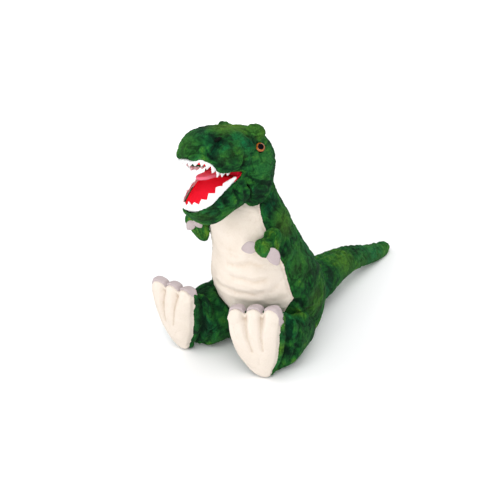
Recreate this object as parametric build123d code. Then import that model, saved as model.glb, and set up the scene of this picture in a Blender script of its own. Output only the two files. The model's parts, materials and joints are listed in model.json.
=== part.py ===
from build123d import *
from math import copysign, cos, pi, radians, sin
import os

# A seated stuffed dinosaur. It faces -Y, stands on Z = 0, and its own left side is +X.
# The origin is the centre of the flat seat. A limb is cut to lie against the torso.

# Cloth and gaps
pile_cloth = 2.4         # plush with its pile pressed flat
lining_cloth = 1.6       # smooth cloth of the mouth
felt = 1.8               # teeth, and each half of a claw
fill_gap = 0.3           # between a skin and what fills it
joint_gap = 0.4          # between two bodies that move on each other
outline_points = 16
beyond = 450             # longer than the toy, for blocks that cut it

# Torso: each station is height, centre Y, half width, half depth
seat_radius = 34
torso_stations = [
    (12, 0, 46, 44),
    (38, -5, 54.5, 53),
    (74, -20, 62, 61.5),
    (105, -32, 57, 56),
    (134, -44, 50, 47.5),
    (160, -54, 45, 42.5),
    (182, -59, 38, 35.5),
    (208, -64, 30, 28),
]
belly_side = [(23, 204), (37, 163), (47, 121), (54, 82)]   # half width and height down the side seam
belly_foot = [(36, 46), (14, 34)]                          # half width and height of the lower seam
bag_radius = 38
bag_height = 20
bag_lift = 12

# Neck ball between torso and head
neck_center = (0, -63, 210)
neck_radius = 27
neck_rim = 5.5           # how far each skin stops from the middle of the ball
neck_lean = 22           # the neck's own axis, forward of upright

# Head: middle of the mouth's hinge line, and how the head is turned on the body
mouth_center = (-2.5, -98.5, 235)
head_turn = -14.5
head_roll = -13
muzzle_lift = 29.5       # upper jaw above level
jaw_drop = 28.5          # lower jaw below level
# Each station is distance in front of the hinge, half width, lowest and highest point
muzzle_tip = 57
head_squareness = 2.5
head_stations = [
    (53, 13, -2, 19),
    (47, 19, -3, 25),
    (37, 25, -2, 31),
    (25, 29, -8, 37),
    (10, 32, -6, 42),
    (-6, 34, -14, 49),
    (-20, 35, -24, 50),
    (-34, 32, -28, 45),
    (-46, 24, -24, 35),
]
skull_back = 54
cheek_front = 36         # front seam of the cheeks, ahead of the hinge
cheek_slant = 22         # degrees that this seam leans forward towards the lip
gusset_half = 25         # half width of the strip over the top of the head
gusset_low = 14          # lowest point of that strip
roof_half = 23           # the vault of the mouth is this wide each way
cheek_droop = 13         # degrees that the cheeks hang below the palate
throat_angle = 137       # front face of the throat, below the palate
hinge_roll = 4
roll_half = 28

# Brows, eyes and nostrils, placed in the upper jaw's frame for the left side
brow_size = (8, 12, 9)
brow_place = (23, 9, 44)
eye_place = (31, 15, 31)
eye_tilt = 20            # the eye looks this far up
eye_ahead = 12           # and this far forward
eye_diameter = 10.5
eye_dome = 3.4
shank_diameter = 4
shank_length = 8
washer_diameter = 12
washer_thickness = 1.2
washer_seat = pile_cloth + washer_thickness
nostril_place = (19, -34, 25)
nostril_length = 7
nostril_width = 2.6
nostril_depth = 1.4
nostril_tilt = 35        # it faces up and outward
nostril_turn = 25        # and slants back
nostril_reach = 25       # from its place out past the cloth

# Lower jaw: each station is distance in front of the hinge, half width, depth below the rim
chin_tip = 59
jaw_squareness = 2.3
jaw_stations = [
    (51, 17, 21),
    (40, 23, 28),
    (25, 28, 30),
    (10, 31, 33),
    (-6, 32, 34),
]
jaw_back_angle = 66      # back face of the jaw, below its rim
bowl_depth = 6
bowl_wall = 5

# Felt teeth
tooth_pitch = 9.5
tooth_height = 5
tooth_band = 4.5
tooth_lean = 28
tooth_clear = 16         # degrees that a row of teeth may stand off its jaw
row_inset = 3            # the row stands this far inside the lip
row_start = 7            # and this far ahead of the hinge

# Tongue
tongue_length = 28
tongue_width = 20
tongue_thickness = 4
tongue_droop = 27        # below the palate

# Arms: shoulders as on the left side, and how each arm is turned outward and raised
shoulder = {"left": (42, -76, 163), "right": (38, -74, 151)}
arm_radius = 10
upper_arm = 10
forearm = 19
arm_out = {"left": 0, "right": 45}
arm_up = {"left": 12, "right": 56}
claw_length = 16
claw_width = 12
claw_thickness = 3.6
# How far each claw turns outward and droops
claw_fan = {"left": [(-48, 0), (70, 45)], "right": [(-95, -22), (-62, 12)]}

# Legs and feet, for the left side
# Each station of the thigh is distance ahead of the hip, half width, half height
hip = (39, -36, 38)
leg_back = 27
leg_stations = [(-16, 25, 31), (0, 28, 37), (22, 29, 38), (44, 28, 36), (62, 25, 33)]
leg_above = 1            # lowest line of the thigh above the floor
leg_splay = {"left": 10, "right": 17}
heel = {"left": (50, -95), "right": (60, -99)}
foot_turn = {"left": 20, "right": 4}
foot_lean = {"left": -7, "right": 1}
foot_tilt = {"left": 0, "right": 8}    # toes forward of the heel
foot_lift = 2
foot_thickness = 21
sole_side = [(0, 0), (15, 7), (28, 27), (34, 52), (33, 74)]   # half of its edge, heel to toe
toe_count = 3
toe_rise = 9
toe_claw_rise = 6
toe_claw_depth = 7

# Tail: each station is Y, centre height, radius
tail_stations = [
    (40, 33, 28),
    (70, 32, 26.5),
    (97, 31.5, 23.3),
    (134, 30, 18.3),
    (169, 23.5, 15),
    (205, 14.5, 12.2),
    (233, 10.3, 9.5),
]
tail_tip = 251
tail_pivot = (0, 44, 33)

# How far each part is moved, in degrees
leg_spread = 21
leg_inward = 3
arm_raise = 22
tail_sway = 16

head_place = Pos(*mouth_center) * Rot(Z=head_turn) * Rot(Y=head_roll)
upper_place = head_place * Rot(X=-muzzle_lift)
jaw_place = head_place * Rot(X=jaw_drop)
gape = muzzle_lift + jaw_drop
sides = {"left": 1, "right": -1}


def closed_outline(half_width, half_height, squareness=2.0):
    # An ellipse, squarer as squareness rises
    points = []
    for step in range(outline_points):
        turn = 2 * pi * step / outline_points
        across = half_width * copysign(abs(cos(turn)) ** (2 / squareness), cos(turn))
        along = half_height * copysign(abs(sin(turn)) ** (2 / squareness), sin(turn))
        points.append((across, along))
    return make_face(Spline(*points, periodic=True))


def upright(ahead, height):
    # A section plane that faces forward, with its own Y pointing up
    return Plane(origin=(0, -ahead, height), x_dir=(1, 0, 0), z_dir=(0, -1, 0))


def torso_form(shrink=0):
    # Horizontal sections from the flat seat to the top of the neck
    sections = [Pos(0, 0, shrink) * closed_outline(seat_radius - shrink, seat_radius - shrink)]
    for height, back, half_width, half_depth in torso_stations:
        sections.append(Pos(0, back, height) * closed_outline(half_width - shrink, half_depth - shrink))
    return loft(sections)


def head_form(shrink=0):
    # Upright sections from the tip of the muzzle to the back of the skull
    first = head_stations[0]
    last = head_stations[-1]
    sections = [Vertex(0, -(muzzle_tip - shrink), (first[2] + first[3]) / 2)]
    for ahead, half_width, low, high in head_stations:
        face = closed_outline(half_width - shrink, (high - low) / 2 - shrink, head_squareness)
        sections.append(upright(ahead, (low + high) / 2) * face)
    sections.append(Vertex(0, skull_back - shrink, (last[2] + last[3]) / 2))
    return loft(sections)


def jaw_form(shrink=0):
    # A boat whose widest line is its rim, in the XY plane of the jaw
    sections = [Vertex(0, -(chin_tip - shrink), 0)]
    for ahead, half_width, depth in jaw_stations:
        outline = closed_outline(half_width - shrink, depth - shrink, jaw_squareness)
        sections.append(upright(ahead, 0) * outline)
    return loft(sections)


def leg_form(shrink=0):
    # A tapering tube with a round back end, in the frame of the hip
    drop = leg_above - hip[2]
    sections = [Vertex(0, leg_back - shrink, drop + leg_stations[0][2])]
    for ahead, half_width, half_height in leg_stations:
        outline = closed_outline(half_width - shrink, half_height - shrink)
        sections.append(upright(ahead, drop + half_height) * outline)
    return loft(sections)


def arm_form(shrink=0):
    # A bent sausage: down from the shoulder to the elbow, then forward to the hand
    radius = arm_radius - shrink
    elbow = Pos(0, 0, -upper_arm)
    upper = Pos(0, 0, -upper_arm / 2) * Cylinder(radius, upper_arm)
    fore = elbow * Pos(0, -forearm / 2, 0) * Rot(X=90) * Cylinder(radius, forearm)
    hand = elbow * Pos(0, -forearm, 0) * Sphere(radius)
    return Sphere(radius) + upper + elbow * Sphere(radius) + fore + hand


def tail_form(shrink=0):
    sections = []
    for back, height, radius in tail_stations:
        sections.append(upright(-back, height) * closed_outline(radius - shrink, radius - shrink))
    sections.append(Vertex(0, tail_tip - shrink, tail_stations[-1][1]))
    return loft(sections)


def half_space(side):
    # A large block on one side of the middle plane
    return Pos(side * beyond, 0, 0) * Box(2 * beyond, 2 * beyond, 2 * beyond)


def wedge(start_angle, end_angle):
    # A sector about the hinge line: 0 points forward and angles grow downward
    points = [(0, 0)]
    for share in (0, 0.25, 0.5, 0.75, 1):
        angle = radians(start_angle + (end_angle - start_angle) * share)
        points.append((-beyond * cos(angle), -beyond * sin(angle)))
    outline = Plane.YZ * make_face(Polyline(*points, close=True))
    return Pos(-beyond / 2, 0, 0) * extrude(outline, amount=beyond, dir=(1, 0, 0))


def write(name, shape):
    export_step(shape, f"parts/{name}.step")


def belly_prism():
    # The seam round the belly panel, seen from the front and carried back to the middle
    right = [(-across, height) for across, height in belly_side + belly_foot]
    left = [(across, height) for across, height in belly_side + belly_foot]
    outline = Polyline(*left, *reversed(right), close=True)
    return extrude(Plane.XZ * make_face(outline), amount=beyond, dir=(0, -1, 0))


def neck_cut(side):
    # Everything past the rim of the neck: +1 is the head's side and -1 the torso's
    block = Pos(0, 0, side * (beyond / 2 - neck_rim)) * Box(beyond, beyond, beyond)
    return Pos(*neck_center) * Rot(X=neck_lean) * block


def neck_socket(extra):
    return Pos(*neck_center) * Sphere(neck_radius + extra)


def make_torso():
    whole = torso_form() - neck_cut(1) - neck_socket(joint_gap)
    hollow = torso_form(pile_cloth) - neck_cut(1) - neck_socket(joint_gap)
    skin = whole - hollow
    panel = belly_prism()
    back = skin - panel
    write("belly_panel", skin & panel)
    write("body_back_left", back & half_space(1))
    write("body_back_right", back & half_space(-1))
    bag = Pos(0, 0, bag_lift + bag_height / 2) * fillet(
        Cylinder(bag_radius, bag_height).edges(), bag_height * 0.4
    )
    fill = torso_form(pile_cloth + fill_gap) - neck_cut(1) - neck_socket(joint_gap)
    write("body_stuffing", fill - bag)
    write("pellet_bag", bag)


def make_neck():
    ball = neck_socket(0)
    core = neck_socket(-pile_cloth)
    write("neck_skin", ball - core)
    write("neck_stuffing", neck_socket(-pile_cloth - fill_gap))


def head_block(shrink):
    # The upper head with its mouth open, its throat cut back and room for the neck ball
    cheeks = wedge(cheek_droop, throat_angle)
    block = head_form(shrink) - cheeks - hinge_line(fill_gap)
    return upper_place * block - neck_cut(-1) - neck_socket(joint_gap)


def roof_vault(extra):
    # The hollow between the cheeks; its flat top is the palate's seat
    width = 2 * (roof_half + extra)
    roof = extra + lining_cloth
    return Pos(0, -beyond / 2, roof - beyond / 2) * Box(width, beyond, beyond)


def gusset_prism():
    # The strip over the top of the head, which widens to the whole muzzle ahead of the cheeks
    strip = Pos(0, 0, gusset_low + beyond / 2) * Box(2 * gusset_half, beyond, beyond)
    muzzle = Pos(0, -beyond / 2, 0) * Box(beyond, beyond, beyond)
    return strip + Pos(0, -cheek_front, gusset_low) * Rot(X=cheek_slant) * muzzle


def eye_frame(side):
    # Z points out of the eye
    across, back, height = eye_place
    aim = Plane(
        origin=(side * across, back, height),
        z_dir=(
            side * cos(radians(eye_tilt)) * cos(radians(eye_ahead)),
            -cos(radians(eye_tilt)) * sin(radians(eye_ahead)),
            sin(radians(eye_tilt)),
        ),
    )
    line = Axis(aim.origin, aim.z_dir)
    hits = head_form().find_intersection_points(line)
    face = max(hits, key=lambda hit: (hit[0] - aim.origin).dot(aim.z_dir))[0]
    return Location(Plane(origin=face, x_dir=aim.x_dir, z_dir=aim.z_dir))


def eye(side):
    # A domed eye whose shank passes through the cloth
    half = eye_diameter / 2
    ball = (half * half + eye_dome * eye_dome) / (2 * eye_dome)
    dome = Pos(0, 0, eye_dome - ball) * Sphere(ball) & Pos(0, 0, half) * Cylinder(half, eye_diameter)
    shank = Pos(0, 0, -shank_length / 2) * Cylinder(shank_diameter / 2, shank_length)
    return upper_place * eye_frame(side) * (dome + shank)


def eye_washer(side):
    # It grips the shank and clamps the cloth from behind
    ring = Cylinder(washer_diameter / 2, washer_thickness) - Cylinder(shank_diameter / 2, shank_length)
    return upper_place * eye_frame(side) * Pos(0, 0, -washer_seat) * ring


def eye_room(side, extra):
    # The space of the washer and the shank inside the head
    room = Pos(0, 0, -washer_seat) * Cylinder(washer_diameter / 2 + extra, washer_thickness + 2 * extra)
    shank = Pos(0, 0, -shank_length / 2 + 1) * Cylinder(shank_diameter / 2 + extra, shank_length + 2)
    return upper_place * eye_frame(side) * (room + shank)


def nostril(side):
    # A short dark slit of satin stitch, let into the cloth
    across, back, height = nostril_place
    slit = SlotOverall(nostril_length, nostril_width)
    bar = Rot(Y=side * nostril_tilt) * Rot(Z=90 + side * nostril_turn) * extrude(slit, amount=nostril_reach)
    return Pos(side * across, back, height) * bar & (head_form() - head_form(nostril_depth))


def brow(side):
    # A plump fold of cloth over each eye
    across, back, height = brow_place
    lobe = Pos(side * across, back, height) * Rot(Y=side * 30) * scale(Sphere(1), by=brow_size)
    return lobe - head_form()


def make_head():
    outer = head_block(0)
    inner = head_block(pile_cloth)
    vault = upper_place * roof_vault(0)
    nostrils = [upper_place * nostril(side) for side in sides.values()]
    skin = outer - inner - vault
    for side in sides.values():
        skin = skin - eye(side) - eye_washer(side)
    for slit in nostrils:
        skin = skin - slit
    gusset = upper_place * gusset_prism()
    write("head_top", skin & gusset)
    for name, side in sides.items():
        write(f"head_side_{name}", (skin - gusset) & upper_place * half_space(side))
        write(f"brow_{name}", upper_place * brow(side))
        write(f"eye_{name}", eye(side))
        write(f"eye_washer_{name}", eye_washer(side))
    write("nostrils", Compound(children=nostrils))
    fill = head_block(pile_cloth + fill_gap) - upper_place * roof_vault(fill_gap)
    for side in sides.values():
        fill = fill - eye_room(side, fill_gap)
    write("head_stuffing", fill)
    roof = Box(2 * roof_half, muzzle_tip, lining_cloth)
    roof = Pos(0, -muzzle_tip / 2, lining_cloth / 2) * roof & head_form(pile_cloth)
    write("palate_lining", upper_place * (roof - hinge_line(fill_gap)))


def row_path(half_width, front):
    # The left half of a row of teeth in plan, from near the hinge to the middle of the front
    points = [(half_width + 1, -row_start), (half_width, -front * 0.5), (half_width * 0.76, -front * 0.84)]
    return Spline(*points, (felt * 0.3, -front), tangents=[(-0.05, -1), (-1, 0)])


def tooth_row(half_width, front):
    # A felt band that leans inward from its sewn edge at Z = 0, its free edge cut in points
    path = row_path(half_width, front)
    height = tooth_band + tooth_height
    band = Rectangle(felt, height, align=(Align.CENTER, Align.MIN))
    start = Plane(origin=path @ 0, x_dir=(1, 0, 0), z_dir=path % 0)
    row = sweep(start * Rot(Z=tooth_lean) * band, path=path)
    count = round(path.length / tooth_pitch)
    half = path.length / count / 2
    past = 2 * height
    points = [(0, tooth_band), (half, height), (half, past), (-half, past), (-half, height)]
    for notch in range(count):
        share = (notch + 0.5) / count
        along = path % share
        frame = Plane(origin=path @ share, x_dir=along, z_dir=(along.Y, -along.X, 0))
        gap = Rot(X=tooth_lean) * make_face(Polyline(*points, close=True))
        row = row - extrude(frame * gap, amount=height, both=True)
    return Pos(0, 0, felt / 2 * sin(radians(tooth_lean))) * row


def make_teeth():
    # Two half rows on each jaw, which taper towards the corner of the mouth
    upper_row = mirror(tooth_row(roof_half - felt, muzzle_tip - 8), about=Plane.XY)
    upper_row = upper_row - wedge(tooth_clear, 90)
    lower_row = tooth_row(jaw_stations[2][1] - row_inset, chin_tip - 7) - wedge(-90, -tooth_clear)
    for name, side in sides.items():
        upper = upper_row if side > 0 else mirror(upper_row, about=Plane.YZ)
        lower = lower_row if side > 0 else mirror(lower_row, about=Plane.YZ)
        write(f"upper_teeth_{name}", upper_place * upper)
        write(f"lower_teeth_{name}", jaw_place * lower)


def hinge_line(extra):
    return Rot(Y=90) * Cylinder(hinge_roll + extra, 2 * roll_half)


def make_throat():
    # A roll of lining closes the corner of the mouth and carries the tongue
    write("throat_lining", head_place * hinge_line(0))
    blade = SlotOverall(tongue_length + tongue_width / 2, tongue_width)
    blade = Pos(0, -tongue_length / 2, 0) * Rot(Z=90) * blade
    tongue = extrude(blade, amount=tongue_thickness / 2, both=True)
    tongue = fillet(tongue.faces().filter_by(Axis.Z).edges(), tongue_thickness * 0.4)
    tongue = tongue & Pos(0, -beyond / 2, 0) * Box(beyond, beyond, beyond)
    mouth = wedge(1, gape)
    tongue = Rot(X=tongue_droop) * tongue & mouth
    write("tongue", upper_place * (tongue - hinge_line(fill_gap)))


def bowl_form(extra):
    # The hollow of the mouth floor
    sections = [Vertex(0, -(chin_tip - bowl_wall + extra), 0)]
    for ahead, half_width, depth in jaw_stations:
        outline = closed_outline(half_width - bowl_wall + extra, bowl_depth + extra, jaw_squareness)
        sections.append(upright(ahead, 0) * outline)
    return loft(sections)


def make_jaw():
    room = wedge(0, jaw_back_angle) - hinge_line(joint_gap)
    write("jaw_skin", jaw_place * ((jaw_form() - jaw_form(pile_cloth)) & room))
    write("mouth_floor_lining", jaw_place * ((bowl_form(lining_cloth) - bowl_form(0)) & room))
    fill = jaw_form(pile_cloth + fill_gap) - bowl_form(lining_cloth + fill_gap)
    write("jaw_stuffing", jaw_place * (fill & room))


def trimmed(shape, pivot, turns):
    # Cut a limb back to the torso, as the limb meets it at each of its turns
    torso = Pos(*[-value for value in pivot]) * torso_form(-joint_gap)
    for turn in turns:
        shape = shape - Pos(*pivot) * turn * torso
    return shape


def claw(fan, droop):
    # A leaf of doubled felt that points along -Y
    half = claw_width / 2
    edge = Spline((half * 0.6, 0), (half, -claw_length * 0.4), (0, -claw_length))
    other = Spline((0, -claw_length), (-half, -claw_length * 0.4), (-half * 0.6, 0))
    leaf = make_face(edge + other + Line((-half * 0.6, 0), (half * 0.6, 0)))
    leaf = Pos(0, -arm_radius * 0.7, 0) * extrude(leaf, amount=claw_thickness / 2, both=True)
    return Rot(Z=fan) * Rot(X=droop) * leaf


def make_arm(name, side):
    pivot = shoulder[name]
    place = Pos(*pivot) * Rot(Z=arm_out[name]) * Rot(X=-arm_up[name])
    turns = [Rot(X=turn) for turn in (0, arm_raise, -arm_raise)]
    hand = Pos(0, -forearm, -upper_arm)
    claws = [hand * claw(fan, droop) - arm_form() for fan, droop in claw_fan[name]]
    pieces = {
        "arm_skin": trimmed(place * (arm_form() - arm_form(pile_cloth)), pivot, turns),
        "arm_stuffing": trimmed(place * arm_form(pile_cloth + fill_gap), pivot, turns),
        "arm_claws": Compound(children=[place * leaf for leaf in claws]),
    }
    for piece, shape in pieces.items():
        write(f"{piece}_{name}", shape if side > 0 else mirror(shape, about=Plane.YZ))


def sole_outline(shrink=0):
    # A leaf with its heel at the origin and three round toes at the top
    top = sole_side[-1][1]
    edge = []
    for across, height in sole_side:
        edge.append((max(across - shrink, 0), shrink + height * (1 - 2 * shrink / top)))
    near = Spline(*edge, tangents=[(1, 0), (-0.1, 1)])
    far = Spline(*[(-across, height) for across, height in reversed(edge)], tangents=[(-0.1, -1), (1, 0)])
    outline = near + far
    for toe in toe_arcs(shrink):
        outline = outline + toe
    return make_face(outline)


def toe_ends(shrink=0):
    # Both ends of each toe across the top of the sole, from the outer one in
    reach = sole_side[-1][0] - shrink
    width = 2 * reach / toe_count
    return [(reach - toe * width, reach - (toe + 1) * width) for toe in range(toe_count)]


def toe_arcs(shrink=0):
    height = sole_side[-1][1] - shrink
    arcs = []
    for start, end in toe_ends(shrink):
        middle = ((start + end) / 2, height + toe_rise)
        arcs.append(ThreePointArc((start, height), middle, (end, height)))
    return arcs


def toe_claw(start, end):
    # A felt tip over one toe
    height = sole_side[-1][1]
    low = height + toe_rise * 0.2
    tip = height + toe_rise + toe_claw_rise
    cap = Spline((start - fill_gap, low), ((start + end) / 2, tip), (end + fill_gap, low))
    face = make_face(cap + Line((end + fill_gap, low), (start - fill_gap, low)))
    tip = foot_block(face, pile_cloth, pile_cloth + toe_claw_depth)
    return tip - foot_block(sole_outline(), 0, foot_thickness)


def foot_block(outline, start, end):
    # The outline carried back from Y = start to Y = end
    return Pos(0, start, 0) * extrude(Plane.XZ * outline, amount=-(end - start))


def make_leg(name, side):
    place = Pos(*hip) * Rot(Z=leg_splay[name])
    foot_place = Pos(*heel[name], foot_lift) * Rot(Z=foot_turn[name])
    foot_place = foot_place * Rot(Y=foot_lean[name]) * Rot(X=foot_tilt[name])
    turns = [Rot(Z=turn) for turn in (leg_inward, 0, -leg_spread)]
    ahead = foot_place * Pos(0, foot_thickness - beyond / 2, 0) * Box(beyond, beyond, beyond)
    outline = sole_outline()
    inner = sole_outline(pile_cloth)
    core = sole_outline(pile_cloth + fill_gap)
    back = foot_thickness
    claws = [toe_claw(start, end) for start, end in toe_ends()]
    pieces = {
        "leg_skin": trimmed(place * (leg_form() - leg_form(pile_cloth)) - ahead, hip, turns),
        "leg_stuffing": trimmed(place * leg_form(pile_cloth + fill_gap) - ahead, hip, turns),
        "sole": foot_place * foot_block(outline, 0, pile_cloth),
        "foot_skin": foot_place * (
            foot_block(outline, pile_cloth, back) - foot_block(inner, pile_cloth, back - pile_cloth)
        ),
        "foot_stuffing": foot_place * foot_block(core, pile_cloth, back - pile_cloth - fill_gap),
        "toe_claws": foot_place * Compound(children=claws),
    }
    for piece, shape in pieces.items():
        write(f"{piece}_{name}", shape if side > 0 else mirror(shape, about=Plane.YZ))


def make_tail():
    turns = [Rot(Z=turn) for turn in (0, tail_sway, -tail_sway)]
    skin = trimmed(tail_form() - tail_form(pile_cloth), tail_pivot, turns)
    write("tail_skin_left", skin & half_space(1))
    write("tail_skin_right", skin & half_space(-1))
    write("tail_stuffing", trimmed(tail_form(pile_cloth + fill_gap), tail_pivot, turns))


os.makedirs("parts", exist_ok=True)
make_torso()
make_neck()
make_head()
make_throat()
make_teeth()
make_jaw()
make_tail()
for name, side in sides.items():
    make_arm(name, side)
    make_leg(name, side)
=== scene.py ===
import json
import math
import bmesh
import bpy
import numpy as np
from mathutils import Matrix, Vector, kdtree, noise


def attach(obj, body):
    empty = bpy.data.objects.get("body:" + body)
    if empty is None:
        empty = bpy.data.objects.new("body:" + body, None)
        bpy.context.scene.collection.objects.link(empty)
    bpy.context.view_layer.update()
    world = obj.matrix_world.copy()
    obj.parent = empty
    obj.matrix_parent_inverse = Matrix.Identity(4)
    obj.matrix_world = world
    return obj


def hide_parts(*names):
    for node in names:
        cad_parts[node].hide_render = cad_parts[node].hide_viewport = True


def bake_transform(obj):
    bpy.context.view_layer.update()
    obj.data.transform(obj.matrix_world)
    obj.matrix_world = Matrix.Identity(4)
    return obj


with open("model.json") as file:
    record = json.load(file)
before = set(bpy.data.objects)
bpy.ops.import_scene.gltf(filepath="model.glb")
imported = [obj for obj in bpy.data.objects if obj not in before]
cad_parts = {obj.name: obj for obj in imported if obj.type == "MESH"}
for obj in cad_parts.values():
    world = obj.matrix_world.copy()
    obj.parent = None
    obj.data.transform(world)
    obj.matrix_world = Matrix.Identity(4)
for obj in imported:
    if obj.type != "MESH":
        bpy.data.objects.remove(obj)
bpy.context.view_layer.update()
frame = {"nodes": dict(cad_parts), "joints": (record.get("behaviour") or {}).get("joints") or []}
scene = bpy.context.scene
mm = 0.001
sides = {"left": 1, "right": -1}
jointPlace = {joint["name"]: Vector(joint["pos_m"]) for joint in frame["joints"]}
print("frame loaded")

# The head is turned and tilted on the body; its seams are given in the upper jaw's own place
headPose = {"turn": -14.5, "roll": -13, "muzzleLift": 29.5, "jawDrop": 28.5}
headTurn = (
    Matrix.Rotation(math.radians(headPose["turn"]), 4, "Z")
    @ Matrix.Rotation(math.radians(headPose["roll"]), 4, "Y")
)
headPlace = Matrix.Translation(jointPlace["jaw_close"]) @ headTurn
upperPlace = headPlace @ Matrix.Rotation(math.radians(-headPose["muzzleLift"]), 4, "X")
lowerPlace = headPlace @ Matrix.Rotation(math.radians(headPose["jawDrop"]), 4, "X")


def only(*objects):
    bpy.ops.object.select_all(action="DESELECT")
    for obj in objects:
        obj.select_set(True)
    bpy.context.view_layer.objects.active = objects[-1]


def copyOf(name, nodes):
    # One merged mesh made from copies of solids
    copies = []
    for node in nodes:
        twin = frame["nodes"][node].copy()
        twin.data = twin.data.copy()
        twin.parent = None
        for key in list(twin.keys()):
            del twin[key]
        scene.collection.objects.link(twin)
        copies.append(twin)
    only(*copies)
    bpy.ops.object.join()
    piece = bpy.context.view_layer.objects.active
    piece.name = piece.data.name = name
    piece.data.materials.clear()
    bpy.ops.object.mode_set(mode="EDIT")
    bpy.ops.mesh.select_all(action="SELECT")
    bpy.ops.mesh.remove_doubles(threshold=0.01 * mm)
    bpy.ops.object.mode_set(mode="OBJECT")
    return piece


def applied(piece, kind, **values):
    # A modifier with these values, applied at once
    only(piece)
    modifier = piece.modifiers.new(kind.lower(), kind)
    for key, value in values.items():
        setattr(modifier, key, value)
    bpy.ops.object.modifier_apply(modifier=modifier.name)


def largestOnly(piece):
    # Drops the small shells that a remesh leaves inside
    shape = bmesh.new()
    shape.from_mesh(piece.data)
    left = set(shape.verts)
    shells = []
    while left:
        front = [left.pop()]
        shell = set(front)
        while front:
            vertex = front.pop()
            for edge in vertex.link_edges:
                other = edge.other_vert(vertex)
                if other in left:
                    left.discard(other)
                    shell.add(other)
                    front.append(other)
        shells.append(shell)
    shells.sort(key=len)
    for shell in shells[:-1]:
        bmesh.ops.delete(shape, geom=list(shell), context="VERTS")
    shape.to_mesh(piece.data)
    shape.free()


def remeshed(piece, size, alone=True):
    applied(piece, "REMESH", mode="VOXEL", voxel_size=size * mm, use_smooth_shade=True)
    if alone:
        largestOnly(piece)


def readAll(items, key):
    flat = np.zeros(len(items) * 3)
    items.foreach_get(key, flat)
    return flat.reshape(-1, 3)


def pointsOf(piece):
    return readAll(piece.data.vertices, "co")


def normalsOf(piece):
    return readAll(piece.data.vertices, "normal")


def faceCenters(piece):
    return readAll(piece.data.polygons, "center")


def movePoints(piece, points):
    piece.data.vertices.foreach_set("co", points.ravel())
    piece.data.update()


def pushed(piece, push):
    # Moves every point along its normal, by its own length
    movePoints(piece, pointsOf(piece) + normalsOf(piece) * push[:, None])


def fading(away, width):
    # 1 in the middle, and less with the distance from it
    return np.exp(-((away / (width * mm)) ** 2))


def inPlace(place, points):
    # Millimetres in a part's own place, as points of the frame
    return [place @ (Vector(point) * mm) for point in points]


def alongLine(points, line):
    # For each point, its distance to a line of straight runs and how far along the line it lies
    nearest = np.full(len(points), 1e9)
    along = np.zeros(len(points))
    done = 0.0
    for start, end in zip(line, line[1:]):
        start, end = np.array(start), np.array(end)
        run = end - start
        length = np.linalg.norm(run)
        share = np.clip((points - start) @ run / length**2, 0, 1)
        away = np.linalg.norm(points - start - share[:, None] * run, axis=1)
        closer = away < nearest
        nearest[closer] = away[closer]
        along[closer] = done + share[closer] * length
        done += length
    return nearest, along


def creased(piece, line, width, depth, shoulder=0.3):
    # A soft valley along a line, with low shoulders; a negative depth makes a fold that stands up
    away, along = alongLine(pointsOf(piece), line)
    banks = fading(away - 2 * width * mm, width)
    ends = np.clip(np.minimum(along, along.max() - along) / (1.5 * width * mm) + 0.25, 0, 1)
    pushed(piece, (-fading(away, width) + shoulder * banks) * depth * mm * ends)


def sewn(piece, line, width, depth, pitch, pucker):
    # A seam pulls the cloth in, and puckers it across
    away, along = alongLine(pointsOf(piece), line)
    phase = along / (pitch * mm) * 2 * math.pi
    wave = np.sin(phase + 1.3 * np.sin(phase * 0.37)) * pucker
    reach = fading(away - 2.2 * width * mm, 2.4 * width)
    pushed(piece, (-depth * fading(away, width) + wave * reach) * mm)


def lumpy(piece, size, strength):
    # Low uneven swellings of the filling, or the nap of the pile when small
    texture = bpy.data.textures.new("lumps", "CLOUDS")
    texture.noise_scale = size * mm
    texture.noise_depth = 1
    texture.noise_basis = "IMPROVED_PERLIN"
    applied(piece, "DISPLACE", texture=texture, strength=strength * mm, mid_level=0.5,
            texture_coords="LOCAL")
    bpy.data.textures.remove(texture)


def fieldOf(points, size, stretch=(1, 1, 1), seed=0.0):
    # Smooth noise at each point, with longer forms along the axes that are stretched
    return np.array([noise.noise(place) for place in points / (size * mm * np.array(stretch)) + seed])


def crumpled(piece, size, depth, stretch=(1, 1, 1), seed=0.0, sharp=5.0):
    # Soft pillows of cloth with creases between them, deeper in some places than in others
    points = pointsOf(piece)
    pillow = np.tanh(np.abs(fieldOf(points, size, stretch, seed)) * sharp)
    share = np.clip(0.55 + 1.6 * fieldOf(points, size * 2.2, (1, 1, 1), seed + 7.3), 0, 1)
    pushed(piece, (pillow - 0.8) * share * depth * mm)


def clothed(piece, cloth, **changes):
    # The crumples of the cloth, then the lumps under it and the nap on it, from large to small
    crumpled(piece, **{**cloth["crumples"], **changes})
    for size, strength in cloth["lumps"]:
        lumpy(piece, size, strength)


def bulged(piece, place, radius, height):
    # A round swelling, or a hollow with a negative height
    away = np.linalg.norm(pointsOf(piece) - np.array(place), axis=1)
    pushed(piece, fading(away, radius) * height * mm)


def grooved(piece, origin, facing, width, depth, shoulder):
    # A valley all round a piece, where a plane cuts it
    away = (pointsOf(piece) - np.array(origin)) @ np.array(facing)
    banks = fading(np.abs(away) - 2 * width * mm, width)
    pushed(piece, (-fading(away, width) + shoulder * banks) * depth * mm)


def hollowsOf(piece, rounds=10):
    # How far each point lies below the smoothed surface round it, in millimetres
    points, normals = pointsOf(piece), normalsOf(piece)
    ends = np.zeros(len(piece.data.edges) * 2, np.int64)
    piece.data.edges.foreach_get("vertices", ends)
    first, second = ends[0::2], ends[1::2]
    count = np.bincount(ends, minlength=len(points))[:, None]
    level = points.copy()
    for _ in range(rounds):
        total = np.zeros_like(level)
        for here, there in ((first, second), (second, first)):
            for axis in range(3):
                total[:, axis] += np.bincount(here, level[there, axis], len(points))
        level = total / np.maximum(count, 1)
    return ((level - points) * normals).sum(1) / mm


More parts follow.
